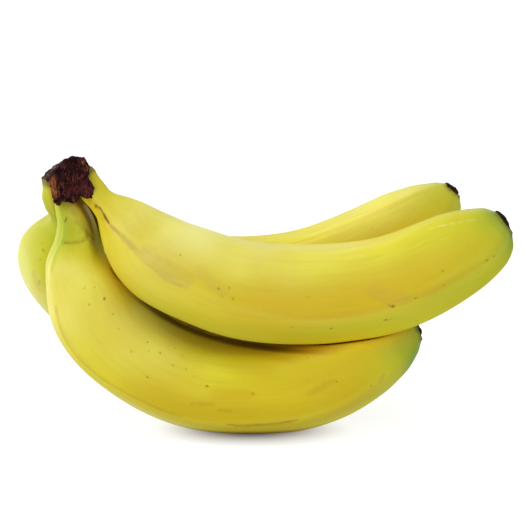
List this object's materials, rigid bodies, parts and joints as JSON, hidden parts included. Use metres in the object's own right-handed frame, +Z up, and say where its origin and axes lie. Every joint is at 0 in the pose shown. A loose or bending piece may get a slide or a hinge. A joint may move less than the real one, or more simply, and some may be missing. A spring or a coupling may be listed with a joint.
{
  "type": "bunch of bananas",
  "caption": "Cluster of ripe yellow bananas with green-tinged necks, dark dried blossom ends and a torn brown crown, lying on its lower fruit.",
  "frame": {"origin": "middle of the bunch's bounding box, on the surface it lies on", "axes": "+X runs from the crown to the blossom tips, +Y from the front fruit to the back fruit, +Z up"},
  "size_m": [0.2021, 0.0939, 0.1164],
  "materials": {
    "banana_peel": null,
    "dried_tip": "dry dark brown blossom remains",
    "dried_crown": "dry, torn, fibrous dark reddish brown crown tissue"
  },
  "bodies": {
    "root": {"banana_front_upper": "banana_peel", "banana_front_lower": "banana_peel", "banana_back_lower": "banana_peel", "banana_back_upper": "banana_peel", "blossom_tip_front_upper": "dried_tip", "blossom_tip_front_lower": "dried_tip", "blossom_tip_back_lower": "dried_tip", "blossom_tip_back_upper": "dried_tip", "crown": "dried_crown"}
  },
  "joints": []
}
